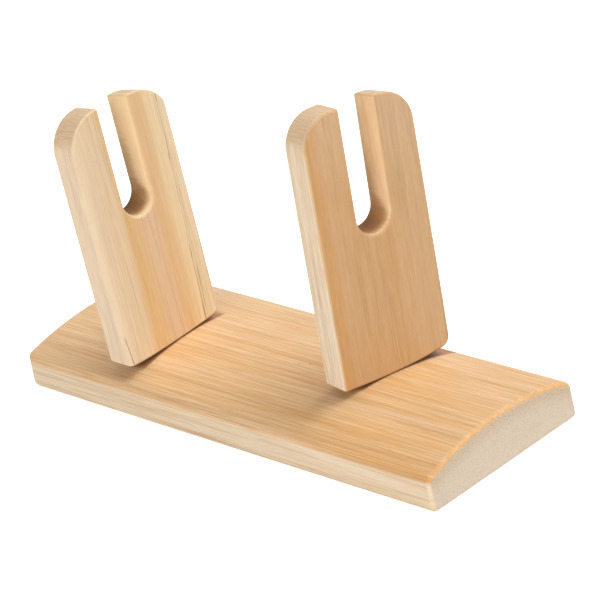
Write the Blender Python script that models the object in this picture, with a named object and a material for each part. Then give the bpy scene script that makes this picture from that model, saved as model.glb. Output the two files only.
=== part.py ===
"""Bamboo display rack: a crowned base that carries two slotted uprights on round dowels.

Sizes are in metres with +Z up. The origin is the centre of the base's flat underside. +X runs along
the base to its right-hand end and +Y runs to its back. Each upright is a plank that stands on end
across the base. A slot open at the top takes whatever is laid from one upright to the other.
"""

import math
from typing import NamedTuple

import bmesh
import bpy
from mathutils import Euler, Vector

MM = 0.001

# Base: flat underneath, arched across its width like the wall of the culm it was split from.
BASE_LENGTH = 160.0 * MM
BASE_WIDTH = 53.0 * MM
BASE_SIDE_HEIGHT = 9.5 * MM
BASE_CROWN_HEIGHT = 14.5 * MM
BASE_ROUNDING = 1.6 * MM

# Uprights: both are cut from the same plank, with the slot's floor at the same height above the foot.
UPRIGHT_THICKNESS = 8.9 * MM
SLOT_FLOOR_HEIGHT = 38.7 * MM
FOOT_FRONT_RADIUS = 1.6 * MM
FOOT_BACK_RADIUS = 2.5 * MM
PRONG_CORNER_RADIUS = 1.0 * MM
UPRIGHT_ROUNDING = 0.8 * MM

# Dowels: one under each upright, from the base into the foot, in blind holes.
DOWEL_DIAMETER = 5.0 * MM
DOWEL_IN_BASE = 8.5 * MM
DOWEL_IN_UPRIGHT = 15.0 * MM
DOWEL_CHAMFER = 0.5 * MM
HOLE_CLEARANCE = 0.3 * MM
FOOT_GAP = 0.35 * MM

# How finely curves are divided.
CROWN_STEPS = 48
CORNER_STEPS = 12
SMALL_CORNER_STEPS = 4
SLOT_STEPS = 24
DOWEL_SIDES = 32
ROUNDING_STEPS = 3
SHARP_ANGLE = math.radians(30.0)

# Plain colours, as linear RGB.
BASE_COLOUR = (0.78, 0.50, 0.26)
LEFT_COLOUR = (0.78, 0.55, 0.32)
RIGHT_COLOUR = (0.65, 0.40, 0.19)
DOWEL_COLOUR = (0.72, 0.52, 0.30)
SANDED_ROUGHNESS = 0.55
DOWEL_ROUGHNESS = 0.65

CROWN_RISE = BASE_CROWN_HEIGHT - BASE_SIDE_HEIGHT
CROWN_RADIUS = ((BASE_WIDTH / 2) ** 2 + CROWN_RISE**2) / (2 * CROWN_RISE)
CROWN_CENTRE_HEIGHT = BASE_CROWN_HEIGHT - CROWN_RADIUS


class Upright(NamedTuple):
    """What differs between the two uprights: size, place on the base, and how squarely it stands."""

    side: str
    width: float
    height: float
    slot_front: float
    slot_back: float
    front_top_radius: float
    back_top_radius: float
    along: float
    across: float
    turn: float
    tip: float
    colour: tuple


UPRIGHTS = (
    Upright(
        side="left",
        width=33.0 * MM,
        height=71.5 * MM,
        slot_front=-5.25 * MM,
        slot_back=4.75 * MM,
        front_top_radius=9.8 * MM,
        back_top_radius=9.8 * MM,
        along=-40.0 * MM,
        across=-7.5 * MM,
        turn=0.0,
        tip=0.0,
        colour=LEFT_COLOUR,
    ),
    Upright(
        side="right",
        width=34.0 * MM,
        height=74.0 * MM,
        slot_front=-5.15 * MM,
        slot_back=5.35 * MM,
        front_top_radius=9.0 * MM,
        back_top_radius=9.8 * MM,
        along=34.0 * MM,
        across=7.0 * MM,
        turn=math.radians(-7.5),
        tip=math.radians(-4.0),
        colour=RIGHT_COLOUR,
    ),
)


def clear_scene():
    for leftover in list(bpy.data.objects):
        bpy.data.objects.remove(leftover, do_unlink=True)


def bamboo(name, colour, roughness):
    """A plain wood material with its own colour."""
    material = bpy.data.materials.new(name)
    material.use_nodes = True
    shader = material.node_tree.nodes["Principled BSDF"]
    shader.inputs["Base Color"].default_value = (*colour, 1.0)
    shader.inputs["Roughness"].default_value = roughness
    shader.inputs["Metallic"].default_value = 0.0
    return material


def arc(centre_y, centre_z, radius, start, end, steps):
    """Points (y, z) on an arc between two angles in degrees, with both ends included."""
    points = []
    for step in range(steps + 1):
        angle = math.radians(start + (end - start) * step / steps)
        points.append((centre_y + radius * math.cos(angle), centre_z + radius * math.sin(angle)))
    return points


def add_object(name, bm, material=None):
    """Turn a bmesh into a named object in the scene, smooth across everything but real edges."""
    bmesh.ops.recalc_face_normals(bm, faces=bm.faces)
    mesh = bpy.data.meshes.new(name)
    bm.to_mesh(mesh)
    bm.free()
    mesh.shade_smooth()
    mesh.set_sharp_from_angle(angle=SHARP_ANGLE)
    obj = bpy.data.objects.new(name, mesh)
    bpy.context.scene.collection.objects.link(obj)
    if material:
        mesh.materials.append(material)
    return obj


def add_prism(name, outline, length, material):
    """A closed prism along X, centred on the YZ plane, from an outline of (y, z) points."""
    bm = bmesh.new()
    corners = [bm.verts.new((-length / 2, y, z)) for y, z in outline]
    end_face = bm.faces.new(corners)
    swept = bmesh.ops.extrude_face_region(bm, geom=[end_face])
    far_corners = [item for item in swept["geom"] if isinstance(item, bmesh.types.BMVert)]
    bmesh.ops.translate(bm, verts=far_corners, vec=(length, 0.0, 0.0))
    return add_object(name, bm, material)


def add_rod(name, radius, bottom, top, material=None):
    """A solid cylinder on the Z axis between two heights."""
    bm = bmesh.new()
    bmesh.ops.create_cone(
        bm,
        cap_ends=True,
        segments=DOWEL_SIDES,
        radius1=radius,
        radius2=radius,
        depth=top - bottom,
    )
    bmesh.ops.translate(bm, verts=bm.verts, vec=(0.0, 0.0, (top + bottom) / 2))
    return add_object(name, bm, material)


def round_edges(obj, width, segments):
    """Ease the real edges of a piece, as sanding does, and leave its curved faces alone."""
    bevel = obj.modifiers.new("eased_edges", "BEVEL")
    bevel.width = width
    bevel.segments = segments
    bevel.limit_method = "ANGLE"
    bevel.angle_limit = SHARP_ANGLE


def drill(obj, cutter):
    hole = obj.modifiers.new(f"hole_for_{cutter.name}", "BOOLEAN")
    hole.operation = "DIFFERENCE"
    hole.solver = "EXACT"
    hole.object = cutter


def base_outline():
    """The base seen from its end: a flat underside, upright sides and an arched top."""
    half_width = BASE_WIDTH / 2
    edge_angle = math.degrees(math.atan2(BASE_SIDE_HEIGHT - CROWN_CENTRE_HEIGHT, half_width))
    crown = arc(0.0, CROWN_CENTRE_HEIGHT, CROWN_RADIUS, edge_angle, 180.0 - edge_angle, CROWN_STEPS)
    return [(-half_width, 0.0), (half_width, 0.0)] + crown


def upright_outline(upright):
    """An upright seen face on, with its foot at height 0, once round anticlockwise."""
    side = upright.width / 2
    top = upright.height
    front_foot = FOOT_FRONT_RADIUS
    back_foot = FOOT_BACK_RADIUS
    front_top = upright.front_top_radius
    back_top = upright.back_top_radius
    prong = PRONG_CORNER_RADIUS
    slot_front = upright.slot_front
    slot_back = upright.slot_back
    slot_y = (slot_front + slot_back) / 2
    slot_radius = (slot_back - slot_front) / 2
    slot_z = SLOT_FLOOR_HEIGHT + slot_radius
    outline = arc(front_foot - side, front_foot, front_foot, 180.0, 270.0, SMALL_CORNER_STEPS)
    outline += arc(side - back_foot, back_foot, back_foot, 270.0, 360.0, SMALL_CORNER_STEPS)
    outline += arc(side - back_top, top - back_top, back_top, 0.0, 90.0, CORNER_STEPS)
    outline += arc(slot_back + prong, top - prong, prong, 90.0, 180.0, SMALL_CORNER_STEPS)
    outline += arc(slot_y, slot_z, slot_radius, 0.0, -180.0, SLOT_STEPS)
    outline += arc(slot_front - prong, top - prong, prong, 0.0, 90.0, SMALL_CORNER_STEPS)
    outline += arc(front_top - side, top - front_top, front_top, 90.0, 180.0, CORNER_STEPS)
    return outline


def crown_height(y):
    """Height of the base's arched top at a distance y from its centre line."""
    return CROWN_CENTRE_HEIGHT + math.sqrt(CROWN_RADIUS**2 - y**2)


def foot_height(upright, attitude):
    """Height of the middle of an upright's flat foot when the foot just clears the arched top."""
    samples = 40
    rest = 0.0
    for step in range(samples + 1):
        for half_thickness in (-UPRIGHT_THICKNESS / 2, UPRIGHT_THICKNESS / 2):
            reach = upright.width * (step / samples - 0.5)
            point = Vector((half_thickness, reach, 0.0))
            point.rotate(attitude)
            rest = max(rest, crown_height(upright.across + point.y) - point.z)
    return rest + FOOT_GAP


def add_seat(upright, rack):
    """An empty at the middle of an upright's foot. The upright and its dowel hang from it."""
    attitude = Euler((upright.tip, 0.0, upright.turn), "YXZ")
    seat = bpy.data.objects.new(f"{upright.side}_seat", None)
    bpy.context.scene.collection.objects.link(seat)
    seat.parent = rack
    seat.location = (upright.along, upright.across, foot_height(upright, attitude))
    seat.rotation_mode = "YXZ"
    seat.rotation_euler = attitude
    return seat


def build_base(rack):
    finish = bamboo("base_bamboo", BASE_COLOUR, SANDED_ROUGHNESS)
    base = add_prism("base", base_outline(), BASE_LENGTH, finish)
    base.parent = rack
    round_edges(base, BASE_ROUNDING, ROUNDING_STEPS)
    return base


def build_upright(upright, seat):
    finish = bamboo(f"{upright.side}_upright_bamboo", upright.colour, SANDED_ROUGHNESS)
    outline = upright_outline(upright)
    plank = add_prism(f"{upright.side}_upright", outline, UPRIGHT_THICKNESS, finish)
    plank.parent = seat
    round_edges(plank, UPRIGHT_ROUNDING, ROUNDING_STEPS)
    return plank


def build_dowel(upright, seat):
    finish = bamboo(f"{upright.side}_dowel_bamboo", DOWEL_COLOUR, DOWEL_ROUGHNESS)
    name = f"{upright.side}_dowel"
    dowel = add_rod(name, DOWEL_DIAMETER / 2, -DOWEL_IN_BASE, DOWEL_IN_UPRIGHT, finish)
    dowel.parent = seat
    round_edges(dowel, DOWEL_CHAMFER, 1)
    return dowel


def build_dowel_cutter(upright, seat):
    """The hole for a dowel, through the gap from the base into the foot."""
    cutter = add_rod(
        f"{upright.side}_dowel_hole",
        DOWEL_DIAMETER / 2 + HOLE_CLEARANCE,
        -DOWEL_IN_BASE - HOLE_CLEARANCE,
        DOWEL_IN_UPRIGHT + HOLE_CLEARANCE,
    )
    cutter.parent = seat
    cutter.hide_render = True
    cutter.display_type = "WIRE"
    return cutter


def build_rack():
    clear_scene()
    rack = bpy.data.objects.new("rack", None)
    bpy.context.scene.collection.objects.link(rack)
    base = build_base(rack)
    for upright in UPRIGHTS:
        seat = add_seat(upright, rack)
        plank = build_upright(upright, seat)
        build_dowel(upright, seat)
        cutter = build_dowel_cutter(upright, seat)
        drill(base, cutter)
        drill(plank, cutter)


build_rack()
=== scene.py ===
"""The looks of the bamboo display rack: sanded pieces, bamboo finishes, table, lamps and camera."""

import math

import bmesh
import bpy
from mathutils import Euler, Matrix, Vector


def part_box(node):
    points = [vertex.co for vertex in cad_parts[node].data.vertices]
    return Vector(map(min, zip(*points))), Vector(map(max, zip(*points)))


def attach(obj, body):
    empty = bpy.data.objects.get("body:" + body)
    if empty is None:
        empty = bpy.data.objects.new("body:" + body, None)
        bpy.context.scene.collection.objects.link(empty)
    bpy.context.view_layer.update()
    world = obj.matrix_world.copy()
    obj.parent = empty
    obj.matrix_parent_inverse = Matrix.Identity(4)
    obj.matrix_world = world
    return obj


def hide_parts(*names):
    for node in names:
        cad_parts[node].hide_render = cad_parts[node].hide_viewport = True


MM = 0.001

# Base: a slab whose arched top is part of a large culm. Its length, width and height come from the
# frame. Hand work left the side higher at the left end, the arch fuller towards the back, and the
# left end aslant.
SIDE_HEIGHT = 9.5 * MM
LEFT_SIDE_HEIGHT = 10.5 * MM
BACK_FULLER = 0.5 * MM
FULLER_FROM = 8.0 * MM
FULLER_TO = 22.0 * MM
LEFT_END_TOP = -80.4 * MM
LEFT_END_FOOT = -81.7 * MM
LEFT_END_SPARE = 1.0 * MM
LEFT_END_BAND = 0.4 * MM
CULM_SIDES = 168
BASE_RING_STEP = 8.0 * MM

# How far the base's edges are rounded.
BASE_UPRIGHT_CORNER = 1.5 * MM
LEFT_END_RIM = 0.9 * MM
LEFT_END_UNDER_RIM = 4.2 * MM
RIGHT_END_RIM = 1.5 * MM
RIGHT_END_UNDER_RIM = 1.4 * MM
UNDER_RIM = 1.2 * MM
UNDER_RIM_AT_LEFT = 2.8 * MM
UNDER_RIM_WIDENS = (50.0 * MM, 76.0 * MM)
BACK_RIM = 2.0 * MM
FRONT_RIM_AT_LEFT = 1.5 * MM
FRONT_RIM_AT_RIGHT = 1.1 * MM
FRONT_RIM_NARROWS = (-40.0 * MM, 10.0 * MM)
BASE_RIM_WAVE = 0.12 * MM
BASE_RIM_WAVE_LENGTH = 11.0 * MM

# Uprights. Each is modelled standing on the origin, with its wide faces towards -X and +X, and is
# then turned, tipped and moved to its seat. The two values of foot_ends and slot are for the front
# and the back, and those of the tops for the -X and the +X face. A bow place below 1 brings the
# lowest point of the bowed foot forward. The spare is cut off after the back corner is rounded.
THICKNESS = 8.9 * MM
SLOT_FLOOR = 38.7 * MM
FOOT_CORNER = 2.3 * MM
UPRIGHTS = {
    "left": {
        "height": 71.0 * MM,
        "seat": (-40.0 * MM, -7.5 * MM, 14.85 * MM),
        "turn": 0.0,
        "tip": 0.0,
        "foot_ends": (-0.5 * MM, 0.45 * MM),
        "foot_bow": 0.6 * MM,
        "bow_place": 0.7,
        "foot_spread": 0.0,
        "front": -16.5 * MM,
        "back": 16.8 * MM,
        "front_arc": 9.8 * MM,
        "back_arc": 11.9 * MM,
        "back_spare": 1.2 * MM,
        "slot": (-5.25 * MM, 4.75 * MM),
        "slot_flare": 0.0,
        "front_top": (0.4 * MM, 1.2 * MM),
        "back_top": (-0.7 * MM, 0.6 * MM),
        "front_rim": 2.2 * MM,
        "slot_rim": 1.8 * MM,
        "mouth_rim": 0.5 * MM,
    },
    "right": {
        "height": 74.0 * MM,
        "seat": (34.0 * MM, 7.0 * MM, 14.58 * MM),
        "turn": math.radians(-7.5),
        "tip": math.radians(-4.0),
        "foot_ends": (0.0, 0.85 * MM),
        "foot_bow": 0.95 * MM,
        "bow_place": 1.2,
        "foot_spread": 0.35 * MM,
        "front": -17.2 * MM,
        "back": 17.05 * MM,
        "front_arc": 9.0 * MM,
        "back_arc": 9.8 * MM,
        "back_spare": 0.0,
        "slot": (-5.15 * MM, 5.35 * MM),
        "slot_flare": 0.4 * MM,
        "front_top": (0.1 * MM, 0.5 * MM),
        "back_top": (-0.9 * MM, 0.3 * MM),
        "front_rim": 1.3 * MM,
        "slot_rim": 1.6 * MM,
        "mouth_rim": 0.6 * MM,
    },
}
PRONG_CORNER = 0.5 * MM
FOOT_ROWS = 9
TOP_BAND = 0.11 * MM
BELOW_ARCS = 1.0 * MM

# Rings cut round an upright below and beside its slot: the lowest one's height and the step
# between them, in millimetres, and how many there are.
UPRIGHT_RINGS = ((5.0, 2.4, 13), (45.0, 2.4, 6))

# Arcs turn less than two degrees a step, so that a rim can widen smoothly along them.
ARC_SEGMENTS = 48
SLOT_SIDES = 192

# Sanding: how far each sharp edge is rounded, in steps small enough to run into each other.
EASED = 0.6 * MM
TOP_RIM = 0.7 * MM
FOOT_RIM = 1.0 * MM
RIM_WAVES = ((0.08 * MM, 4.1 * MM), (0.05 * MM, 1.9 * MM))
WAVES_START = (3.0 * MM, 8.0 * MM)
FOOT_RIM_STARTS = (6.0 * MM, 1.0 * MM)
TOP_RIM_STARTS = (13.0 * MM, 3.0 * MM)
MOUTH_BELOW_TOP = 6.0 * MM
RADIUS_STEP = 0.1 * MM
ROUNDING_SEGMENTS = 6
SHARP = math.radians(30.0)
NEAR = 0.01 * MM

# Marks in the wood, and the reach of the painted shade under the feet, in millimetres in each piece's
# own axes.
BASE_SPECKS = ((12.1, -1.1), (9.0, -2.4))
BASE_DARK_LINE_HEIGHT = 9.1
PALE_LINE_AT = 10.4
LONG_LINE_AT = 10.9
SHORT_LINE_AT = 12.6
LINE_LEAN = -0.045
CRACK_AT = -15.2
CRACK_LEAN = 0.06
# Where the painted contact shade on the base under each foot starts and ends, from the seat.
SHADE_UNDER_FOOT_STARTS = (-14.0, -10.5)
SHADE_UNDER_FOOT_ENDS = (19.5, 17.0)
WIDEST_HALF_SLOT = 5.3
GRAIN_DEPTH = 0.06

# Camera, from the photograph's viewing angle.
CAMERA_AZIMUTH = math.radians(52.36)
CAMERA_ELEVATION = math.radians(24.73)
CAMERA_ROLL = math.radians(-13.83)
CAMERA_DISTANCE = 0.8436
CAMERA_AIM_RIGHT = 7.95 * MM
CAMERA_AIM_UP = -1.35 * MM
CAMERA_AIM_HEIGHT = 30.0 * MM
CAMERA_LENS = 191.3
SENSOR_WIDTH = 36.0

# Table, lamps and light of the room. The glow keeps the table white on camera.
TABLE_SIZE = 8.0
TABLE_HEIGHT = -0.1 * MM
LAMP_AIM_HEIGHT = 40.0 * MM
ROOM_STRENGTH = 0.15
ROOM_TONE = (1.0, 0.91, 0.81, 1.0)
TABLE_GLOW = 0.75
TABLE_TONE = (0.8, 0.8, 0.8, 1.0)
WHITE = (1.0, 1.0, 1.0, 1.0)
WOOD_SHINE = 0.35


def srgb(red, green, blue):
    """A colour written as screen values from 0 to 255, turned into the linear values of a shader."""
    linear = []
    for value in (red, green, blue):
        value /= 255.0
        linear.append(value / 12.92 if value <= 0.04045 else ((value + 0.055) / 1.055) ** 2.4)
    return (*linear, 1.0)


SPECK_TONE = srgb(120, 82, 52)
# Painted shade for the undersides of the feet.
FOOT_UNDERSIDE_SHADE = srgb(108, 56, 22)
# Painted contact shade, warm dark brown, for the base under each foot.
FOOT_CONTACT_SHADE = srgb(152, 88, 42)


# ---------------------------------------------------------------- modelling


def start_piece(name):
    """Name the primitive just added, and put its size and place into its mesh."""
    piece = bpy.context.active_object
    piece.name = name
    piece.data.name = name
    bpy.ops.object.transform_apply(location=True, rotation=True, scale=True)
    return piece


def work_on(piece):
    bpy.ops.object.select_all(action="DESELECT")
    piece.select_set(True)
    bpy.context.view_layer.objects.active = piece


def apply_modifier(piece, modifier):
    work_on(piece)
    bpy.ops.object.modifier_apply(modifier=modifier.name)


def select(piece, kind, wanted):
    """In edit mode, select the corners, edges or faces that the test accepts, and nothing else."""
    bpy.ops.mesh.select_mode(type=kind)
    bpy.ops.mesh.select_all(action="DESELECT")
    shape = bmesh.from_edit_mesh(piece.data)
    for part in {"VERT": shape.verts, "EDGE": shape.edges, "FACE": shape.faces}[kind]:
        part.select = wanted(part)
    shape.select_flush_mode()
    bmesh.update_edit_mesh(piece.data)


def shift(piece, wanted, offset):
    """Move the corners of a piece whose places the test accepts."""
    work_on(piece)
    bpy.ops.object.mode_set(mode="EDIT")
    select(piece, "VERT", lambda corner: wanted(corner.co))
    bpy.ops.transform.translate(value=offset)
    bpy.ops.object.mode_set(mode="OBJECT")


def middle_of(edge):
    return (edge.verts[0].co + edge.verts[1].co) / 2


def cut_off(point, normal):
    """In edit mode, cut away all that lies past a plane, and close the cut."""
    bpy.ops.mesh.select_all(action="SELECT")
    bpy.ops.mesh.bisect(plane_co=point, plane_no=normal, use_fill=True, clear_outer=True)


def cut_rings(piece, axis, places):
    """Cut a piece right round at places along an axis, so that its edges can be eased unevenly."""
    normal = Vector((0.0, 0.0, 0.0))
    normal[axis] = 1.0
    work_on(piece)
    bpy.ops.object.mode_set(mode="EDIT")
    for place in places:
        bpy.ops.mesh.select_all(action="SELECT")
        bpy.ops.mesh.bisect(plane_co=normal * place, plane_no=normal)
    bpy.ops.object.mode_set(mode="OBJECT")


def ease_edges(piece, radius_at):
    """Round every sharp edge to the radius that radius_at gives for the middle of the edge."""
    work_on(piece)
    bpy.ops.object.mode_set(mode="EDIT")

    def steps(edge):
        if edge.calc_face_angle(0.0) < SHARP:
            return 0
        return round(radius_at(middle_of(edge)) / RADIUS_STEP)

    widest = max(steps(edge) for edge in bmesh.from_edit_mesh(piece.data).edges)
    for step in range(1, widest + 1):
        select(piece, "EDGE", lambda edge, step=step: steps(edge) == step)
        bpy.ops.transform.edge_bevelweight(value=step / widest)
    bpy.ops.object.mode_set(mode="OBJECT")
    rounding = piece.modifiers.new("rounding", "BEVEL")
    rounding.limit_method = "WEIGHT"
    rounding.width = widest * RADIUS_STEP
    rounding.segments = ROUNDING_SEGMENTS
    rounding.use_clamp_overlap = False
    apply_modifier(piece, rounding)


def finish_surface(piece):
    """Smooth shading that keeps the large flat faces flat."""
    work_on(piece)
    bpy.ops.object.mode_set(mode="EDIT")
    bpy.ops.mesh.select_all(action="SELECT")
    bpy.ops.mesh.remove_doubles(threshold=1e-6)
    bpy.ops.mesh.normals_make_consistent(inside=False)
    bpy.ops.object.mode_set(mode="OBJECT")
    bpy.ops.object.shade_smooth()
    weighted = piece.modifiers.new("flat_faces", "WEIGHTED_NORMAL")
    weighted.weight = 100
    apply_modifier(piece, weighted)


def fade(value, start, end):
    """0 before the start, 1 past the end, and a soft step between."""
    share = min(1.0, max(0.0, (value - start) / (end - start)))
    return share * share * (3.0 - 2.0 * share)


def culm_arch():
    """Half width, rise and radius of the base's arched top, from the base's size in the frame."""
    low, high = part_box("base")
    half_width = (high[1] - low[1]) / 2
    rise = high[2] - low[2] - SIDE_HEIGHT
    return half_width, rise, (half_width**2 + rise**2) / (2 * rise)


def model_base():
    """A slice of a round culm: cuts leave the arched top, upright sides, flat foot and slanted end.

    The arch is a little flatter at the left end than at the right, and fuller towards its back.
    """
    low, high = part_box("base")
    half_width, rise, radius = culm_arch()
    uncut_end = LEFT_END_FOOT - LEFT_END_SPARE
    bpy.ops.mesh.primitive_cylinder_add(
        vertices=CULM_SIDES,
        radius=radius,
        depth=high[0] - uncut_end,
        location=((high[0] + uncut_end) / 2, 0.0, high[2] - radius),
        rotation=(0.0, math.pi / 2, 0.0),
    )
    base = start_piece("bamboo_base")
    bpy.ops.object.mode_set(mode="EDIT")
    cut_off((0.0, -half_width, 0.0), (0.0, -1.0, 0.0))
    cut_off((0.0, half_width, 0.0), (0.0, 1.0, 0.0))
    cut_off((0.0, 0.0, low[2]), (0.0, 0.0, -1.0))
    select(base, "VERT", lambda corner: corner.co.x < 0 and corner.co.z > low[2] + NEAR)
    flatter = (high[2] - low[2] - LEFT_SIDE_HEIGHT) / rise
    bpy.ops.transform.resize(value=(1.0, 1.0, flatter), center_override=(0.0, 0.0, high[2]))
    outward = Vector((-LEFT_SIDE_HEIGHT, 0.0, LEFT_END_TOP - LEFT_END_FOOT)).normalized()
    cut_off((LEFT_END_FOOT, 0.0, low[2]), outward)
    bpy.ops.object.mode_set(mode="OBJECT")
    rows = sorted({round(corner.co.y / NEAR) for corner in base.data.vertices})
    for row in rows:
        across = row * NEAR
        shift(
            base,
            lambda at, across=across: abs(at.y - across) < NEAR and at.z > low[2] + NEAR,
            (0.0, 0.0, BACK_FULLER * fade(across, FULLER_FROM, FULLER_TO)),
        )
    rings = int((high[0] - low[0]) / 2 / BASE_RING_STEP) - 1
    cut_rings(base, 0, [ring * BASE_RING_STEP for ring in range(-rings, rings + 1)])

    def radius_at(point):
        """Softest underneath the left end, and a little uneven along the arch's long edges."""
        at_left = point.x < low[0] + LEFT_END_BAND
        at_right = point.x > high[0] - NEAR
        on_side = abs(point.y) > half_width - NEAR
        underneath = point.z < low[2] + NEAR
        if (at_left or at_right) and on_side:
            return BASE_UPRIGHT_CORNER
        if at_left:
            return LEFT_END_UNDER_RIM if underneath else LEFT_END_RIM
        if at_right:
            return RIGHT_END_UNDER_RIM if underneath else RIGHT_END_RIM
        if underneath:
            to_left = fade(-point.x, *UNDER_RIM_WIDENS)
            return UNDER_RIM + to_left * (UNDER_RIM_AT_LEFT - UNDER_RIM)
        wave = BASE_RIM_WAVE * math.sin(point.x / BASE_RIM_WAVE_LENGTH)
        if point.y > 0:
            return BACK_RIM + wave
        to_right = fade(point.x, *FRONT_RIM_NARROWS)
        return FRONT_RIM_AT_LEFT + to_right * (FRONT_RIM_AT_RIGHT - FRONT_RIM_AT_LEFT) + wave

    ease_edges(base, radius_at)
    finish_surface(base)
    return base


def model_slot_cutter(height, slot):
    """A round bar across the plank whose upper half is pulled up past the plank's top."""
    radius = (slot[1] - slot[0]) / 2
    centre = SLOT_FLOOR + radius
    bpy.ops.mesh.primitive_cylinder_add(
        vertices=SLOT_SIDES,
        radius=radius,
        depth=2 * THICKNESS,
        location=(0.0, (slot[0] + slot[1]) / 2, centre),
        rotation=(0.0, math.pi / 2, 0.0),
    )
    cutter = start_piece("slot_cutter")
    bpy.ops.object.mode_set(mode="EDIT")
    bpy.ops.mesh.select_all(action="SELECT")
    bpy.ops.mesh.bisect(plane_co=(0.0, 0.0, centre), plane_no=(0.0, 0.0, 1.0))
    select(cutter, "FACE", lambda face: face.calc_center_median().z > centre)
    bpy.ops.mesh.extrude_region_move(TRANSFORM_OT_translate={"value": (0.0, 0.0, height)})
    bpy.ops.object.mode_set(mode="OBJECT")
    return cutter


def cut_away(piece, cutter):
    cut = piece.modifiers.new("cut", "BOOLEAN")
    cut.operation = "DIFFERENCE"
    cut.solver = "EXACT"
    cut.object = cutter
    apply_modifier(piece, cut)
    bpy.data.objects.remove(cutter, do_unlink=True)


def round_corner(plank, across, height, radius):
    """Round the one corner of a plank's outline that lies at a width and a height."""

    def is_corner(edge):
        return (middle_of(edge) - Vector((0.0, across, height))).length < NEAR

    work_on(plank)
    bpy.ops.object.mode_set(mode="EDIT")
    select(plank, "EDGE", is_corner)
    bpy.ops.mesh.bevel(offset=radius, segments=ARC_SEGMENTS, affect="EDGES")
    bpy.ops.object.mode_set(mode="OBJECT")


def shape_foot(plank, size):
    """Bow a plank's foot down between its ends, spread it to the back, and round its back corner.

    The foot's long edges are divided into rows, and each row is moved by its own amount.
    """
    front, back = size["front"], size["back"]
    low_front, low_back = size["foot_ends"]
    work_on(plank)
    bpy.ops.object.mode_set(mode="EDIT")
    middle = (front + back) / 2

    def is_long_edge(edge):
        at = middle_of(edge)
        return abs(at.y - middle) < NEAR and at.z < NEAR

    select(plank, "EDGE", is_long_edge)
    bpy.ops.mesh.subdivide(number_cuts=FOOT_ROWS - 1)
    bpy.ops.object.mode_set(mode="OBJECT")
    for row in range(FOOT_ROWS + 1):
        share = row / FOOT_ROWS
        across = front + share * (back - front)
        along = share ** size["bow_place"]
        slant = low_front + (low_back - low_front) * share
        drop = slant - 4 * size["foot_bow"] * along * (1 - along)
        shift(
            plank,
            lambda at, across=across: at.z < NEAR and abs(at.y - across) < NEAR,
            (0.0, 0.0, drop),
        )
    shift(
        plank,
        lambda at: at.z < low_back + NEAR and at.y > back - NEAR,
        (0.0, size["foot_spread"], 0.0),
    )
    round_corner(plank, back + size["foot_spread"], low_back, FOOT_CORNER)


def cut_side(plank, back):
    """Cut off what a plank has to spare at its back."""
    work_on(plank)
    bpy.ops.object.mode_set(mode="EDIT")
    cut_off((0.0, back, 0.0), (0.0, 1.0, 0.0))
    bpy.ops.object.mode_set(mode="OBJECT")


def slant_tops(plank, size):
    """Lift or lower each face of each prong's top by its own amount."""
    prong_foot = size["height"] - max(size["front_arc"], size["back_arc"]) - BELOW_ARCS
    for prong, part in (("front_top", -1), ("back_top", 1)):
        for face, lift in zip((-1, 1), size[prong]):
            shift(
                plank,
                lambda at, part=part, face=face: (
                    at.z > prong_foot and at.x * face > 0 and at.y * part > 0
                ),
                (0.0, 0.0, lift),
            )


def model_upright(side):
    """A plank on end: corners rounded, slot cut from the top, and every edge eased by sanding."""
    size = UPRIGHTS[side]
    height = size["height"]
    front, back = size["front"], size["back"]
    slot = size["slot"]
    mouth = slot[1] + size["slot_flare"]
    wide = back + size["back_spare"]
    bpy.ops.mesh.primitive_cube_add(size=1.0, location=(0.0, (front + wide) / 2, height / 2))
    bpy.context.active_object.scale = (THICKNESS, wide - front, height)
    plank = start_piece(f"{side}_bamboo_upright")
    round_corner(plank, front, height, size["front_arc"])
    round_corner(plank, wide, height, size["back_arc"])
    if size["back_spare"]:
        cut_side(plank, back)
    shape_foot(plank, size)
    cut_away(plank, model_slot_cutter(height, slot))
    shift(
        plank,
        lambda at: at.z > height - TOP_BAND and abs(at.y - slot[1]) < NEAR,
        (0.0, size["slot_flare"], 0.0),
    )
    slant_tops(plank, size)
    places = []
    for lowest, step, count in UPRIGHT_RINGS:
        places += [(lowest + step * ring) * MM for ring in range(count)]
    cut_rings(plank, 2, places)

    def radius_at(point):
        """Widest round the slot's floor and back wall and up the front edge."""
        wave = sum(height_of * math.sin(point.z / length) for height_of, length in RIM_WAVES)
        wave *= fade(point.z, *WAVES_START)
        in_slot = slot[0] - NEAR < point.y < mouth + NEAR and point.z > SLOT_FLOOR - NEAR
        to_foot = fade(point.z, *FOOT_RIM_STARTS)
        if abs(point.x) < NEAR:
            return PRONG_CORNER if point.z > SLOT_FLOOR else FOOT_RIM
        if point.x < 0:
            return EASED + to_foot * (FOOT_RIM - EASED)
        if in_slot:
            to_mouth = fade(point.z, SLOT_FLOOR + slot[1], height - MOUTH_BELOW_TOP)
            to_front = fade(-point.y, -0.4 * slot[1], slot[1])
            narrow = max(to_mouth, to_front)
            return size["slot_rim"] + narrow * (size["mouth_rim"] - size["slot_rim"])
        to_top = fade(point.z, height - TOP_RIM_STARTS[0], height - TOP_RIM_STARTS[1])
        side_rim = size["front_rim"] if point.y < 0 else EASED
        rim = side_rim + to_foot * (FOOT_RIM - side_rim)
        return rim + to_top * (TOP_RIM - rim) + wave

    ease_edges(plank, radius_at)
    finish_surface(plank)
    return plank


def seat_upright(plank, side):
    """Turn and tip a plank, stand it on its place, and give back the place and the attitude."""
    size = UPRIGHTS[side]
    attitude = Euler((size["tip"], 0.0, size["turn"]))
    place = Vector(size["seat"])
    plank.rotation_euler = attitude
    plank.location = place
    work_on(plank)
    bpy.ops.object.transform_apply(location=True, rotation=True, scale=True)
    return place, attitude


# ---------------------------------------------------------------- finishes


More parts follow.
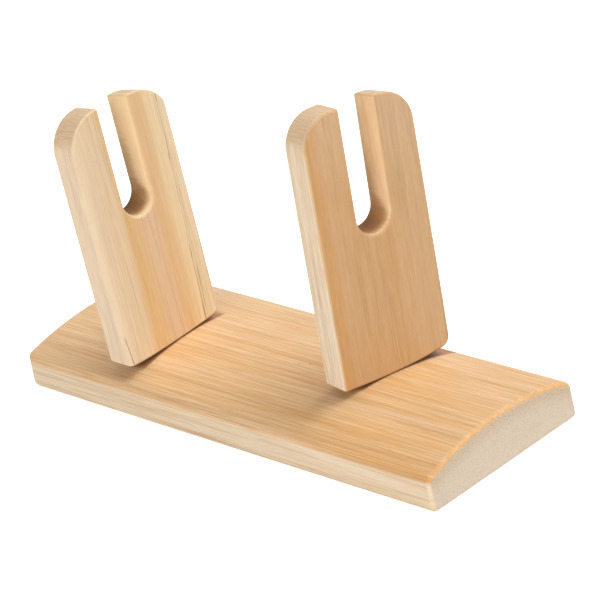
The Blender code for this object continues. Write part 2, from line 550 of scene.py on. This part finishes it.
def put(tree, kind, sockets=None, **settings):
    """Add a node, set its properties, and set or link its inputs."""
    made = tree.nodes.new(kind)
    for key, value in settings.items():
        setattr(made, key, value)
    for key, value in (sockets or {}).items():
        if isinstance(value, bpy.types.NodeSocket):
            tree.links.new(value, made.inputs[key])
        else:
            made.inputs[key].default_value = value
    return made


def calc(tree, operation, first, second=0.0, clamp=False):
    node = put(tree, "ShaderNodeMath", {0: first, 1: second}, operation=operation, use_clamp=clamp)
    return node.outputs[0]


def times(tree, *factors):
    product = factors[0]
    for factor in factors[1:]:
        product = calc(tree, "MULTIPLY", product, factor)
    return product


def smooth(tree, value, start, end, low=0.0, high=1.0):
    """A soft step from low to high as the value goes from start to end."""
    sockets = {"Value": value, "From Min": start, "From Max": end, "To Min": low, "To Max": high}
    return put(tree, "ShaderNodeMapRange", sockets, interpolation_type="SMOOTHSTEP").outputs[0]


def blend(tree, factor, first, second):
    sockets = {0: factor, 6: first, 7: second}
    return put(tree, "ShaderNodeMix", sockets, data_type="RGBA").outputs[2]


def ramp(tree, factor, stops):
    """A colour ramp through (position, colour) stops."""
    node = put(tree, "ShaderNodeValToRGB", {"Fac": factor})
    elements = node.color_ramp.elements
    elements[0].position, elements[0].color = stops[0]
    elements[1].position, elements[1].color = stops[-1]
    for position, colour in stops[1:-1]:
        elements.new(position).color = colour
    return node.outputs["Color"]


def split(tree, vector):
    node = put(tree, "ShaderNodeSeparateXYZ", {0: vector})
    return node.outputs[0], node.outputs[1], node.outputs[2]


def join(tree, x, y, z):
    return put(tree, "ShaderNodeCombineXYZ", {0: x, 1: y, 2: z}).outputs[0]


def noise(tree, vector, scale, detail=3.0, rough=0.5):
    sockets = {"Vector": vector, "Scale": scale, "Detail": detail, "Roughness": rough}
    return put(tree, "ShaderNodeTexNoise", sockets).outputs[0]


def new_group(name, inputs, outputs):
    """An empty node group with named float or vector inputs and float outputs."""
    group = bpy.data.node_groups.new(name, "ShaderNodeTree")
    for label, kind, default in inputs:
        socket = group.interface.new_socket(label, in_out="INPUT", socket_type=kind)
        if default is not None:
            socket.default_value = default
    for label in outputs:
        group.interface.new_socket(label, in_out="OUTPUT", socket_type="NodeSocketFloat")
    entry = group.nodes.new("NodeGroupInput")
    leave = group.nodes.new("NodeGroupOutput")
    return group, entry, leave


def stretched(tree, along, share, across, depth):
    """A position whose distance along the grain is shortened, so that a pattern grows long."""
    return join(tree, times(tree, along, share), across, depth)


def bamboo_grain_group():
    """Solid bamboo whose grain runs along X, in millimetres.

    Cut lengthwise, bundles and fibres show as lines. Cut across, they show as dots.
    """
    group, entry, leave = new_group(
        "bamboo_grain",
        [
            ("Vector", "NodeSocketVector", None),
            ("Length", "NodeSocketFloat", 1.0),
            ("Seed", "NodeSocketFloat", 0.0),
        ],
        ["Bundles", "Fibres", "Lines", "Streaks", "Patches", "Mottle", "Specks"],
    )
    along, across, depth = split(group, entry.outputs["Vector"])
    along = calc(group, "DIVIDE", along, entry.outputs["Length"])
    along = calc(group, "ADD", along, entry.outputs["Seed"])
    slow = noise(group, stretched(group, along, 0.02, across, depth), 0.12, 1.0)
    sway = times(group, calc(group, "SUBTRACT", slow, 0.5), 1.6)
    across = calc(group, "ADD", across, sway)

    cells = put(
        group,
        "ShaderNodeTexVoronoi",
        {"Vector": stretched(group, along, 0.03, across, depth), "Scale": 1.5, "Randomness": 0.8},
        feature="F1",
    ).outputs["Distance"]
    bundles = smooth(group, cells, 0.42, 0.12)

    fine = noise(group, stretched(group, along, 0.05, across, depth), 2.6, 3.0, 0.7)
    fibres = smooth(group, fine, 0.36, 0.64)

    bent = noise(group, stretched(group, along, 0.012, across, depth), 0.8, 3.0, 0.65)
    ridge = calc(group, "ABSOLUTE", calc(group, "SUBTRACT", bent, 0.5))
    kept = noise(group, stretched(group, along, 0.04, across, depth), 0.6, 2.0, 0.5)
    lines = times(group, smooth(group, ridge, 0.05, 0.0), smooth(group, kept, 0.42, 0.62))

    wide = noise(group, stretched(group, along, 0.03, across, depth), 0.45, 3.0, 0.6)
    streaks = smooth(group, wide, 0.3, 0.7)
    broad = noise(group, stretched(group, along, 0.12, across, depth), 0.16, 2.0, 0.5)
    patches = smooth(group, broad, 0.42, 0.66)
    close = noise(group, stretched(group, along, 0.16, across, depth), 1.3, 2.0, 0.6)
    mottle = smooth(group, close, 0.35, 0.65)

    pores = put(
        group,
        "ShaderNodeTexVoronoi",
        {"Vector": stretched(group, along, 0.6, across, depth), "Scale": 0.075, "Randomness": 1.0},
        feature="F1",
    ).outputs["Distance"]
    specks = smooth(group, pores, 0.026, 0.012)

    for label, socket in (
        ("Bundles", bundles),
        ("Fibres", fibres),
        ("Lines", lines),
        ("Streaks", streaks),
        ("Patches", patches),
        ("Mottle", mottle),
        ("Specks", specks),
    ):
        group.links.new(socket, leave.inputs[label])
    return group


def sanding_group():
    """What sanding leaves: fine scratches, and a mask for the eased rims round the X faces."""
    group, entry, leave = new_group(
        "sanding",
        [("Vector", "NodeSocketVector", None), ("Normal", "NodeSocketVector", None)],
        ["Rim", "Scratches"],
    )
    facing = calc(group, "ABSOLUTE", split(group, entry.outputs["Normal"])[0])
    rest = calc(group, "SUBTRACT", 1.0, times(group, facing, facing), True)
    across = calc(group, "SQRT", rest)
    turned = smooth(group, calc(group, "MINIMUM", facing, across), 0.12, 0.55)
    scratches = noise(group, entry.outputs["Vector"], 5.0, 5.0, 0.7)
    patchy = smooth(group, noise(group, entry.outputs["Vector"], 0.9, 3.0, 0.6), 0.3, 0.6, 0.45, 1.0)
    group.links.new(times(group, turned, patchy), leave.inputs["Rim"])
    group.links.new(scratches, leave.inputs["Scratches"])
    return group


def ramp_value(tree, value, faint, middle, full):
    """0 before the first place, 0.6 at the middle one and 1 at the last."""
    first = smooth(tree, value, faint, middle, 0.0, 0.6)
    second = smooth(tree, value, middle, full, 0.0, 0.4)
    return calc(tree, "ADD", first, second)


def slot_walls_group():
    """Dark brown on the slot's walls: darkest on the floor, and gone near the mouth."""
    group, entry, leave = new_group(
        "slot_walls",
        [("Vector", "NodeSocketVector", None), ("Normal", "NodeSocketVector", None)],
        ["Burn", "Wall", "Fuzz"],
    )
    x, y, z = split(group, entry.outputs["Vector"])
    facing = calc(group, "ABSOLUTE", split(group, entry.outputs["Normal"])[0])
    wall = smooth(group, facing, 0.85, 0.35)
    half = WIDEST_HALF_SLOT
    floor = SLOT_FLOOR / MM
    inside = smooth(group, calc(group, "ABSOLUTE", y), half + 1.4, half + 0.5)
    inside = times(group, inside, smooth(group, z, floor - 1.2, floor - 0.2))
    saw_marks = join(group, times(group, x, 0.25), y, z)
    uneven = noise(group, saw_marks, 0.9, 5.0, 0.7)
    height = calc(group, "ADD", z, times(group, calc(group, "SUBTRACT", uneven, 0.5), 14.0))
    low = ramp_value(group, height, floor + 24.0, floor + 12.0, floor + 1.0)
    reach = smooth(group, z, floor + 9.0, floor + 2.0, 0.0, 4.2)
    depth = calc(group, "SUBTRACT", calc(group, "ADD", x, times(group, uneven, 2.0)), reach)
    far = smooth(group, depth, 2.4, -2.2)
    sawn = times(group, wall, inside)
    fuzz = noise(group, saw_marks, 3.5, 4.0, 0.8)
    group.links.new(times(group, sawn, low, far), leave.inputs["Burn"])
    group.links.new(sawn, leave.inputs["Wall"])
    group.links.new(times(group, fuzz, sawn), leave.inputs["Fuzz"])
    return group


def use_group(tree, group, sockets):
    return put(tree, "ShaderNodeGroup", sockets, node_tree=group).outputs


def new_finish(name):
    """A new material, its node tree and its Principled shader, set a little less shiny."""
    material = bpy.data.materials.new(name)
    material.use_nodes = True
    tree = material.node_tree
    shader = tree.nodes["Principled BSDF"]
    shader.inputs["Specular IOR Level"].default_value = WOOD_SHINE
    return material, tree, shader


def own_axes(tree, place, attitude):
    """Position in millimetres and normal, both in the axes of a piece that was turned and moved."""
    coordinates = put(tree, "ShaderNodeTexCoord")
    position = put(
        tree,
        "ShaderNodeMapping",
        {"Vector": coordinates.outputs["Object"], "Location": place, "Rotation": attitude},
        vector_type="TEXTURE",
    ).outputs[0]
    scaled = put(
        tree,
        "ShaderNodeVectorMath",
        {0: position, "Scale": 1.0 / MM},
        operation="SCALE",
    ).outputs[0]
    normal = put(
        tree,
        "ShaderNodeMapping",
        {"Vector": coordinates.outputs["Normal"], "Rotation": attitude},
        vector_type="TEXTURE",
    ).outputs[0]
    return scaled, normal


def wire_surface(tree, shader, colour, height, rough_low, rough_high, roughness):
    """Wire colour, roughness and the relief of the grain into a Principled shader."""
    tree.links.new(colour, shader.inputs["Base Color"])
    mapped = smooth(tree, roughness, 0.0, 1.0, rough_low, rough_high)
    tree.links.new(mapped, shader.inputs["Roughness"])
    bump = put(
        tree,
        "ShaderNodeBump",
        {"Strength": 1.0, "Distance": GRAIN_DEPTH * MM, "Height": height},
    ).outputs[0]
    tree.links.new(bump, shader.inputs["Normal"])


def foot_shade(tree, normal):
    """A mask for the underside of a foot, where painted shade darkens it."""
    return smooth(tree, split(tree, normal)[2], -0.3, -0.75)


def lay_over(tree, colour, mask, share, tone):
    """Lay a tone over a colour where a mask says, up to a share of it."""
    return blend(tree, times(tree, mask, share), colour, tone)


def line_at(tree, value, place, half_width):
    """A mask for a narrow line where the value comes to the place."""
    distance = calc(tree, "ABSOLUTE", calc(tree, "SUBTRACT", value, place))
    return smooth(tree, distance, half_width, 0.0)


def grain_relief(tree, fibre, sanded):
    """Height of the sanded grain: fibres and dark lines lie a little lower."""
    relief = times(tree, fibre["Fibres"], -0.4)
    relief = calc(tree, "SUBTRACT", relief, times(tree, fibre["Lines"], 0.7))
    return calc(tree, "ADD", relief, times(tree, sanded["Scratches"], 0.3))


def cut_ends(tree, x, y, z, fibre):
    """Wood of an upright cut across its grain: dots in rows that run through the thickness."""
    rows = join(tree, times(tree, x, 0.06), y, z)
    stripes = smooth(tree, noise(tree, rows, 3.2, 1.0, 0.5), 0.38, 0.62)
    wood = lay_over(tree, srgb(234, 206, 170), stripes, 0.3, srgb(200, 158, 116))
    return lay_over(tree, wood, fibre["Bundles"], 0.14, srgb(184, 142, 100))


def shade_under_foot(tree, x, y, side):
    """A mask for the painted contact shade on the base under an upright's foot, short of the foot's
    front.
    """
    size = UPRIGHTS[side]
    from_seat_x = calc(tree, "SUBTRACT", x, size["seat"][0] / MM)
    from_seat_y = calc(tree, "SUBTRACT", y, size["seat"][1] / MM)
    turned = calc(
        tree,
        "ADD",
        times(tree, from_seat_x, math.cos(size["turn"])),
        times(tree, from_seat_y, math.sin(size["turn"])),
    )
    half = THICKNESS / 2 / MM
    strip = smooth(tree, calc(tree, "ABSOLUTE", turned), half + 0.2, half - 0.5)
    behind_front = smooth(tree, from_seat_y, *SHADE_UNDER_FOOT_STARTS)
    before_back = smooth(tree, from_seat_y, *SHADE_UNDER_FOOT_ENDS)
    return times(tree, strip, behind_front, before_back)


def base_finish(grain, sanding):
    """Outer culm wood on top, paler wood on the cut sides, and dotted grain on the ends."""
    material, tree, shader = new_finish("sanded_bamboo_base")
    position, normal = own_axes(tree, (0.0, 0.0, 0.0), (0.0, 0.0, 0.0))
    x, y, z = split(tree, position)
    fibre = use_group(tree, grain, {"Vector": position, "Length": 1.7, "Seed": 11.0})
    sanded = use_group(tree, sanding, {"Vector": position, "Normal": normal})

    outer = ramp(
        tree,
        fibre["Streaks"],
        [
            (0.0, srgb(226, 179, 122)),
            (0.35, srgb(230, 188, 137)),
            (0.65, srgb(232, 193, 146)),
            (1.0, srgb(234, 199, 158)),
        ],
    )
    outer = lay_over(tree, outer, fibre["Patches"], 0.55, srgb(229, 181, 117))
    front = times(tree, smooth(tree, y, -17.0, -22.5), smooth(tree, x, 15.0, 55.0), fibre["Streaks"])
    outer = lay_over(tree, outer, front, 0.8, srgb(219, 161, 90))
    # Painted light: the top lighter towards the left end.
    outer = lay_over(tree, outer, smooth(tree, x, 10.0, -70.0), 0.5, srgb(240, 206, 164))
    inner = ramp(
        tree,
        fibre["Streaks"],
        [(0.0, srgb(228, 207, 173)), (0.5, srgb(236, 218, 189)), (1.0, srgb(241, 226, 202))],
    )
    inner = lay_over(tree, inner, fibre["Patches"], 0.4, srgb(234, 212, 178))
    # Painted light: the cut sides lighter towards the left end.
    inner = lay_over(tree, inner, smooth(tree, x, -20.0, -75.0), 0.5, srgb(246, 232, 206))

    _, rise, radius = culm_arch()
    radius /= MM
    drop = calc(tree, "ADD", z, radius - (rise + SIDE_HEIGHT) / MM)
    squared = calc(tree, "ADD", times(tree, y, y), times(tree, drop, drop))
    below_skin = calc(tree, "SUBTRACT", radius, calc(tree, "SQRT", squared))
    edge_line = calc(tree, "ADD", times(tree, x, -0.006), 0.9)
    wander = times(tree, calc(tree, "SUBTRACT", fibre["Streaks"], 0.5), 0.9)
    from_line = calc(tree, "SUBTRACT", below_skin, calc(tree, "ADD", edge_line, wander))
    colour = blend(tree, smooth(tree, from_line, -0.3, 0.6), outer, inner)

    drawn_out = join(tree, times(tree, x, 0.014), y, z)
    pale_lines = smooth(tree, noise(tree, drawn_out, 2.4, 2.0, 0.6), 0.5, 0.6)
    tan_lines = smooth(tree, noise(tree, drawn_out, 2.8, 2.0, 0.6), 0.48, 0.38)
    colour = lay_over(tree, colour, pale_lines, 0.42, srgb(250, 224, 184))
    colour = lay_over(tree, colour, tan_lines, 0.34, srgb(206, 148, 90))
    colour = lay_over(tree, colour, fibre["Fibres"], 0.1, srgb(206, 158, 108))
    colour = lay_over(tree, colour, fibre["Lines"], 0.3, srgb(176, 124, 78))
    dark_line = times(
        tree,
        line_at(tree, z, BASE_DARK_LINE_HEIGHT, 0.16),
        smooth(tree, x, -6.0, 0.0),
        smooth(tree, x, 18.0, 12.0),
    )
    colour = lay_over(tree, colour, dark_line, 0.6, srgb(140, 98, 62))

    facing_end = calc(tree, "ABSOLUTE", split(tree, normal)[0])
    end_mask = smooth(tree, facing_end, 0.72, 0.95)
    near_skin = smooth(tree, below_skin, 6.0, 0.3)
    end_wood = blend(tree, near_skin, srgb(226, 210, 190), srgb(212, 192, 164))
    grit = smooth(tree, noise(tree, position, 1.9, 3.0, 0.7), 0.36, 0.66)
    end_wood = lay_over(tree, end_wood, grit, 0.3, srgb(196, 172, 140))
    dots = times(tree, fibre["Bundles"], calc(tree, "ADD", 0.12, times(tree, near_skin, 0.3)))
    end_wood = lay_over(tree, end_wood, dots, 1.0, srgb(160, 128, 92))
    end_wood = lay_over(tree, end_wood, smooth(tree, z, 0.9, 0.3), 0.35, srgb(168, 138, 104))
    colour = blend(tree, end_mask, colour, end_wood)
    skin = smooth(tree, below_skin, 2.0, 0.6)
    colour = lay_over(tree, colour, times(tree, sanded["Rim"], skin), 0.75, srgb(226, 166, 98))
    for along, across in BASE_SPECKS:
        speck = times(tree, line_at(tree, x, along, 0.45), line_at(tree, y, across, 0.35))
        colour = lay_over(tree, colour, speck, 0.8, SPECK_TONE)
    # Painted contact shade on the base under each foot.
    for side in ("left", "right"):
        colour = lay_over(tree, colour, shade_under_foot(tree, x, y, side), 0.75, FOOT_CONTACT_SHADE)

    relief = grain_relief(tree, fibre, sanded)
    wire_surface(tree, shader, colour, relief, 0.42, 0.62, fibre["Fibres"])
    return material


def left_finish(grain, sanding, slot_walls, place, attitude):
    """Pale plank with two orange bands up its wide faces, and dark fibres near its back edge."""
    material, tree, shader = new_finish("sanded_bamboo_left_upright")
    position, normal = own_axes(tree, place, attitude)
    x, y, z = split(tree, position)
    upward = join(tree, z, y, x)
    fibre = use_group(tree, grain, {"Vector": upward, "Length": 1.2, "Seed": 57.0})
    sanded = use_group(tree, sanding, {"Vector": position, "Normal": normal})
    slot_masks = use_group(tree, slot_walls, {"Vector": position, "Normal": normal})

    half = UPRIGHTS["left"]["back"] / MM
    wander = times(tree, calc(tree, "SUBTRACT", fibre["Streaks"], 0.5), 1.8)
    across = calc(tree, "ADD", y, wander)
    share = put(
        tree,
        "ShaderNodeMapRange",
        {"Value": across, "From Min": -half, "From Max": half},
    ).outputs[0]
    colour = ramp(
        tree,
        share,
        [
            (0.0, srgb(242, 221, 192)),
            (0.12, srgb(235, 214, 182)),
            (0.26, srgb(233, 210, 174)),
            (0.31, srgb(229, 195, 146)),
            (0.37, srgb(226, 187, 130)),
            (0.45, srgb(227, 191, 141)),
            (0.52, srgb(230, 197, 161)),
            (0.61, srgb(230, 195, 157)),
            (0.66, srgb(228, 189, 137)),
            (0.74, srgb(230, 194, 144)),
            (0.80, srgb(234, 206, 158)),
            (0.845, srgb(242, 220, 180)),
            (0.88, srgb(234, 212, 168)),
            (1.0, srgb(240, 221, 190)),
        ],
    )
    colour = lay_over(tree, colour, fibre["Mottle"], 0.2, srgb(232, 200, 170))
    colour = lay_over(tree, colour, fibre["Fibres"], 0.16, srgb(204, 160, 112))
    colour = lay_over(tree, colour, fibre["Lines"], 0.3, srgb(178, 130, 84))
    leaning = calc(tree, "ADD", across, times(tree, z, LINE_LEAN))
    pale_line = line_at(tree, leaning, PALE_LINE_AT, 0.35)
    long_line = line_at(tree, leaning, LONG_LINE_AT, 0.22)
    short_line = line_at(tree, leaning, SHORT_LINE_AT, 0.3)
    short_line = times(tree, short_line, smooth(tree, z, 48.0, 30.0))
    colour = lay_over(tree, colour, pale_line, 0.6, srgb(243, 222, 184))
    colour = lay_over(tree, colour, long_line, 0.7, srgb(158, 114, 72))
    colour = lay_over(tree, colour, short_line, 0.55, srgb(160, 116, 76))
    beside_crack = calc(tree, "ADD", y, times(tree, z, CRACK_LEAN))
    crack = times(tree, line_at(tree, beside_crack, CRACK_AT, 0.22), smooth(tree, z, 9.5, 7.5))
    colour = lay_over(tree, colour, crack, 0.8, srgb(110, 72, 44))

    end_mask = smooth(tree, calc(tree, "ABSOLUTE", split(tree, normal)[2]), 0.16, 0.42)
    end_wood = cut_ends(tree, x, y, z, fibre)
    colour = blend(tree, end_mask, colour, end_wood)
    # Painted highlight: the eased rims round the wide faces paler.
    colour = lay_over(tree, colour, sanded["Rim"], 0.35, srgb(240, 216, 178))
    colour = lay_over(tree, colour, slot_masks["Wall"], 0.75, srgb(246, 220, 174))
    # Dark brown low on the slot's walls, and towards the -X face.
    colour = lay_over(tree, colour, slot_masks["Burn"], 0.9, srgb(160, 112, 56))
    colour = lay_over(tree, colour, fibre["Specks"], 0.5, SPECK_TONE)
    # Painted shade on the underside of the foot.
    colour = lay_over(tree, colour, foot_shade(tree, normal), 0.85, FOOT_UNDERSIDE_SHADE)

    relief = calc(tree, "ADD", grain_relief(tree, fibre, sanded), slot_masks["Fuzz"])
    wire_surface(tree, shader, colour, relief, 0.45, 0.65, fibre["Fibres"])
    return material


def right_finish(grain, sanding, slot_walls, place, attitude):
    """Tan outer face over pale wood, with an orange line where the rim cuts between them."""
    material, tree, shader = new_finish("sanded_bamboo_right_upright")
    position, normal = own_axes(tree, place, attitude)
    x, y, z = split(tree, position)
    upward = join(tree, z, y, x)
    fibre = use_group(tree, grain, {"Vector": upward, "Length": 0.9, "Seed": 83.0})
    sanded = use_group(tree, sanding, {"Vector": position, "Normal": normal})
    slot_masks = use_group(tree, slot_walls, {"Vector": position, "Normal": normal})

    face = ramp(
        tree,
        fibre["Streaks"],
        [
            (0.0, srgb(205, 160, 110)),
            (0.4, srgb(208, 165, 116)),
            (0.7, srgb(210, 169, 121)),
            (1.0, srgb(214, 174, 130)),
        ],
    )
    face = lay_over(tree, face, fibre["Patches"], 0.5, srgb(208, 162, 106))
    face = lay_over(tree, face, smooth(tree, z, 48.0, 66.0), 0.45, srgb(222, 190, 156))
    face = lay_over(tree, face, smooth(tree, z, 36.0, 14.0), 0.4, srgb(211, 176, 130))
    face = lay_over(tree, face, smooth(tree, y, 3.0, 12.0), 0.35, srgb(213, 182, 144))
    pale = ramp(
        tree,
        fibre["Streaks"],
        [(0.0, srgb(239, 216, 182)), (0.5, srgb(245, 228, 202)), (1.0, srgb(248, 234, 212))],
    )
    front = UPRIGHTS["right"]["front"] / MM
    front_edge = smooth(tree, calc(tree, "ADD", y, fibre["Streaks"]), front + 6.5, front + 1.0)
    face = lay_over(tree, face, front_edge, 0.7, srgb(211, 157, 92))
    below_face = calc(tree, "SUBTRACT", THICKNESS / 2 / MM, x)
    colour = blend(tree, smooth(tree, below_face, 0.02, 0.3), face, srgb(217, 173, 120))
    colour = blend(tree, smooth(tree, below_face, 0.15, 0.9), colour, pale)
    colour = lay_over(tree, colour, fibre["Mottle"], 0.15, srgb(222, 186, 152))
    colour = lay_over(tree, colour, fibre["Fibres"], 0.2, srgb(186, 142, 96))
    colour = lay_over(tree, colour, fibre["Lines"], 0.25, srgb(166, 120, 78))

    end_mask = smooth(tree, calc(tree, "ABSOLUTE", split(tree, normal)[2]), 0.16, 0.42)
    end_wood = cut_ends(tree, x, y, z, fibre)
    colour = blend(tree, times(tree, end_mask, smooth(tree, below_face, 0.5, 1.4)), colour, end_wood)
    colour = lay_over(tree, colour, slot_masks["Wall"], 0.6, srgb(234, 190, 134))
    # Dark brown low on the slot's walls, and towards the -X face.
    colour = lay_over(tree, colour, slot_masks["Burn"], 0.8, srgb(160, 106, 52))
    colour = lay_over(tree, colour, fibre["Specks"], 0.5, SPECK_TONE)
    # Painted shade on the underside of the foot.
    colour = lay_over(tree, colour, foot_shade(tree, normal), 0.85, FOOT_UNDERSIDE_SHADE)

    relief = calc(tree, "ADD", grain_relief(tree, fibre, sanded), slot_masks["Fuzz"])
    wire_surface(tree, shader, colour, relief, 0.45, 0.65, fibre["Fibres"])
    return material


def dowel_finish(grain):
    """Plain turned bamboo, grain running up the pin."""
    material, tree, shader = new_finish("turned_bamboo_dowel")
    position, _ = own_axes(tree, (0.0, 0.0, 0.0), (0.0, 0.0, 0.0))
    x, y, z = split(tree, position)
    fibre = use_group(tree, grain, {"Vector": join(tree, z, y, x), "Length": 1.0, "Seed": 5.0})
    colour = blend(tree, fibre["Streaks"], srgb(205, 170, 120), srgb(224, 194, 148))
    colour = blend(tree, times(tree, fibre["Bundles"], 0.4), colour, srgb(168, 126, 82))
    wire_surface(tree, shader, colour, fibre["Fibres"], 0.55, 0.7, fibre["Fibres"])
    return material


def dress(piece, material):
    piece.data.materials.clear()
    piece.data.materials.append(material)


# ---------------------------------------------------------------- table, lamps and camera


def seen_directly(tree):
    """1 for what the camera sees straight or through gloss or glass, and 0 for all other light."""
    path = put(tree, "ShaderNodeLightPath")
    seen = calc(tree, "MAXIMUM", path.outputs["Is Camera Ray"], path.outputs["Is Glossy Ray"])
    return calc(tree, "MAXIMUM", seen, path.outputs["Is Transmission Ray"])


def set_table():
    """A white table top that stays white on camera and keeps the rack's soft shadow."""
    bpy.ops.mesh.primitive_plane_add(size=TABLE_SIZE, location=(0.0, 0.0, TABLE_HEIGHT))
    table = bpy.context.active_object
    table.name = "table_top"
    material = bpy.data.materials.new("white_table")
    material.use_nodes = True
    tree = material.node_tree
    tree.nodes.clear()
    lift = times(tree, seen_directly(tree), TABLE_GLOW)
    matt = put(tree, "ShaderNodeBsdfDiffuse", {"Color": TABLE_TONE}).outputs[0]
    glow = put(tree, "ShaderNodeEmission", {"Color": WHITE, "Strength": lift}).outputs[0]
    both = put(tree, "ShaderNodeAddShader", {0: matt, 1: glow}).outputs[0]
    put(tree, "ShaderNodeOutputMaterial", {"Surface": both})
    dress(table, material)


def set_world():
    """A room that looks white on camera and gives the rack a little warm light from all round."""
    world = bpy.data.worlds.new("white_room")
    bpy.context.scene.world = world
    world.use_nodes = True
    tree = world.node_tree
    tree.nodes.clear()
    strength = smooth(tree, seen_directly(tree), 0.0, 1.0, ROOM_STRENGTH, 1.0)
    tone = blend(tree, seen_directly(tree), ROOM_TONE, WHITE)
    room = put(tree, "ShaderNodeBackground", {"Color": tone, "Strength": strength})
    put(tree, "ShaderNodeOutputWorld", {"Surface": room.outputs[0]})


def add_softbox(name, azimuth, elevation, distance, size, power, colour):
    """A square lamp that faces the rack. Azimuth is measured from +X towards +Y."""
    a = math.radians(azimuth)
    e = math.radians(elevation)
    away = Vector((math.cos(a) * math.cos(e), math.sin(a) * math.cos(e), math.sin(e)))
    lamp = bpy.data.lights.new(name, "AREA")
    lamp.shape = "SQUARE"
    lamp.size = size
    lamp.energy = power
    lamp.color = colour
    softbox = bpy.data.objects.new(name, lamp)
    bpy.context.scene.collection.objects.link(softbox)
    softbox.location = away * distance + Vector((0.0, 0.0, LAMP_AIM_HEIGHT))
    softbox.rotation_euler = away.to_track_quat("Z", "Y").to_euler()


def set_camera():
    """The photograph's view: a long lens, turned a little clockwise in the hand."""
    a, e, r = CAMERA_AZIMUTH, CAMERA_ELEVATION, CAMERA_ROLL
    back = Vector((math.sin(a) * math.cos(e), -math.cos(a) * math.cos(e), math.sin(e)))
    right = Vector((math.cos(a), math.sin(a), 0.0))
    up = back.cross(right)
    aim = right * CAMERA_AIM_RIGHT + up * CAMERA_AIM_UP + Vector((0.0, 0.0, CAMERA_AIM_HEIGHT))
    rolled_right = right * math.cos(r) + up * math.sin(r)
    rolled_up = up * math.cos(r) - right * math.sin(r)
    axes = Matrix((rolled_right, rolled_up, back)).transposed()
    lens = bpy.data.cameras.new("photo_camera")
    lens.sensor_width = SENSOR_WIDTH
    lens.lens = CAMERA_LENS
    lens.clip_start = 0.01
    lens.clip_end = 20.0
    camera = bpy.data.objects.new("photo_camera", lens)
    bpy.context.scene.collection.objects.link(camera)
    camera.location = aim + back * CAMERA_DISTANCE
    camera.rotation_euler = axes.to_euler()
    bpy.context.scene.camera = camera


# ---------------------------------------------------------------- the rack

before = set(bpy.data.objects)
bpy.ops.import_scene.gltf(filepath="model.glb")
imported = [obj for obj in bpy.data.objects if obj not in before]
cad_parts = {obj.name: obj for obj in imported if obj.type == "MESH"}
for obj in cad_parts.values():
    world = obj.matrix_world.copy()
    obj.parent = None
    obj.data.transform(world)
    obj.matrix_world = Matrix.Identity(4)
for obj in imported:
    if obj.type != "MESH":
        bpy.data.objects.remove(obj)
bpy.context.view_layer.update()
bpy.ops.object.select_all(action="DESELECT")

grain = bamboo_grain_group()
sanding = sanding_group()
slot_walls = slot_walls_group()

base = model_base()
dress(base, base_finish(grain, sanding))
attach(base, "root")
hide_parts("base")

for side, finish in (("left", left_finish), ("right", right_finish)):
    plank = model_upright(side)
    place, attitude = seat_upright(plank, side)
    dress(plank, finish(grain, sanding, slot_walls, place, attitude))
    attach(plank, "root")
    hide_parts(f"{side}_upright")

pin_finish = dowel_finish(grain)
for node in ("left_dowel", "right_dowel"):
    dress(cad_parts[node], pin_finish)

set_table()
set_world()
add_softbox(
    "key_softbox",
    azimuth=66.0,
    elevation=48.0,
    distance=2.0,
    size=1.45,
    power=38.5,
    colour=(1.0, 1.0, 1.0),
)
add_softbox(
    "front_softbox",
    azimuth=-62.0,
    elevation=16.0,
    distance=2.4,
    size=1.85,
    power=46.0,
    colour=(1.0, 0.97, 0.94),
)
set_camera()
bpy.context.scene.view_settings.view_transform = "Standard"
